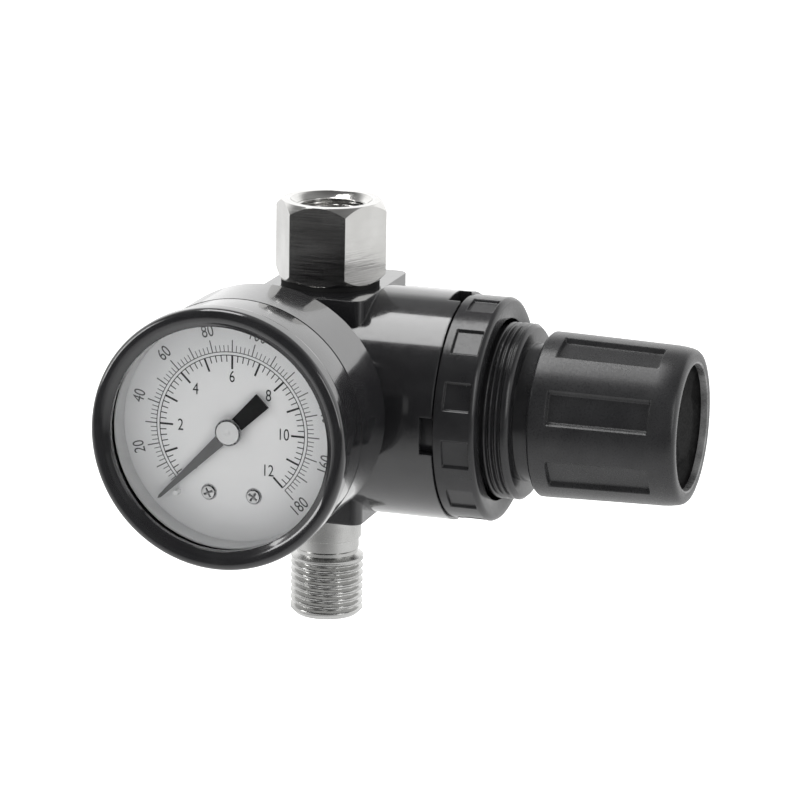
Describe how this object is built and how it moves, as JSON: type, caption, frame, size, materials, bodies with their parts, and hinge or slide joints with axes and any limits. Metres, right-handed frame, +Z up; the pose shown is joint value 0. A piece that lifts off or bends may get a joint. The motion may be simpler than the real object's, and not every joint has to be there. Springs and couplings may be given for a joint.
{
  "type": "air pressure regulator",
  "caption": "Inline air pressure regulator with front dial gauge, push-to-lock adjusting knob, swivel hex inlet nut and male threaded outlet",
  "frame": {"origin": "on the outlet thread's axis at its free end, where the full thread starts above the lead-in chamfer", "axes": "+Z up along the port axis toward the inlet, +X along the regulator axis toward the knob, the gauge faces -Y"},
  "size_m": [0.0927, 0.0758, 0.0765],
  "materials": {
    "body_paint": "gloss black enamel over die casting",
    "black_plastic": "semi-gloss moulded black plastic",
    "gauge_paint": "gloss black enamel on drawn steel",
    "nickel": "bright nickel plate over turned brass",
    "brass": "machined brass",
    "spring_steel": "bright drawn spring wire",
    "steel": "zinc-plated steel",
    "rubber_black": "moulded nitrile rubber",
    "dial_white": "white enamel on aluminium with printed scale",
    "lens_clear": "clear window",
    "pointer_grey": "black painted aluminium",
    "bright_metal": "polished nickel"
  },
  "bodies": {
    "root": {"valve_body": "body_paint", "valve_cap": "black_plastic", "cap_o_ring": "rubber_black", "valve_spring": "spring_steel", "diaphragm": "rubber_black", "regulating_spring": "spring_steel", "bonnet": "black_plastic", "bonnet_ring": "black_plastic", "inlet_washer": "rubber_black", "inlet_spigot": "nickel", "inlet_snap_ring": "spring_steel", "outlet_nipple": "nickel", "gauge_gasket": "rubber_black", "gauge_socket": "brass", "rear_port_plug": "nickel", "rear_plug_washer": "rubber_black", "gauge_case": "gauge_paint", "gauge_bezel": "gauge_paint", "lens_gasket": "rubber_black", "gauge_lens": "lens_clear", "gauge_dial": "dial_white", "zero_stop_pin": "bright_metal", "dial_screws": "bright_metal", "movement_back_plate": "brass", "movement_front_plate": "brass", "movement_posts": "brass", "bourdon_tube": "brass", "tube_tip_post": "brass", "hairspring": "spring_steel"},
    "poppet": {"valve_poppet": "brass", "valve_disc": "rubber_black", "valve_stem": "steel"},
    "diaphragm_centre": {"diaphragm_hub": "brass", "diaphragm_plate": "steel"},
    "spring_nut": {"spring_nut": "brass"},
    "screw": {"adjusting_screw": "steel", "thrust_washer": "brass", "knob_screw": "steel"},
    "knob": {"knob": "black_plastic", "knob_cap": "black_plastic"},
    "swivel_nut": {"inlet_swivel_nut": "nickel"},
    "pointer": {"pinion_arbor": "brass", "pointer": "pointer_grey", "pointer_cap": "bright_metal"},
    "sector": {"sector_gear": "brass", "sector_arbor": "steel"},
    "tip_link": {"tip_link": "brass"}
  },
  "joints": [
    {"name": "screw_turn", "type": "hinge", "parent": "root", "child": "screw", "pos_m": [0.05, 0, 0.0401], "axis": [1, 0, 0], "range_deg": [-1800, 0]},
    {"name": "knob_lock", "type": "slide", "parent": "screw", "child": "knob", "axis": [1, 0, 0], "range_m": [-0.0026, 0]},
    {"name": "spring_nut_slide", "type": "slide", "parent": "root", "child": "spring_nut", "axis": [1, 0, 0], "range_m": [-0.00625, 0], "deforming": ["regulating_spring"]},
    {"name": "diaphragm_slide", "type": "slide", "parent": "root", "child": "diaphragm_centre", "axis": [1, 0, 0], "range_m": [-0.0015, 0], "deforming": ["diaphragm"]},
    {"name": "poppet_slide", "type": "slide", "parent": "root", "child": "poppet", "axis": [1, 0, 0], "range_m": [-0.0015, 0], "deforming": ["valve_spring"]},
    {"name": "inlet_nut_swivel", "type": "hinge", "parent": "root", "child": "swivel_nut", "pos_m": [0, 0, 0.0681], "axis": [0, 0, 1], "continuous": true},
    {"name": "pointer_turn", "type": "hinge", "parent": "root", "child": "pointer", "pos_m": [-0.0027, -0.04, 0.04355], "axis": [0, 1, 0], "range_deg": [0, 270]},
    {"name": "sector_turn", "type": "hinge", "parent": "root", "child": "sector", "pos_m": [-0.0027, -0.036, 0.03515], "axis": [0, 1, 0], "range_deg": [-45, 0]},
    {"name": "link_swing", "type": "hinge", "parent": "sector", "child": "tip_link", "pos_m": [-0.0075, -0.037, 0.03365], "axis": [0, 1, 0], "range_deg": [0, 45]}
  ],
  "couplings": [
    {"joint": "spring_nut_slide", "follows": "screw_turn", "m_per_rad": 0.00019894},
    {"joint": "poppet_slide", "follows": "diaphragm_slide", "ratio": 1},
    {"joint": "pointer_turn", "follows": "sector_turn", "ratio": -6},
    {"joint": "link_swing", "follows": "sector_turn", "ratio": -1}
  ]
}
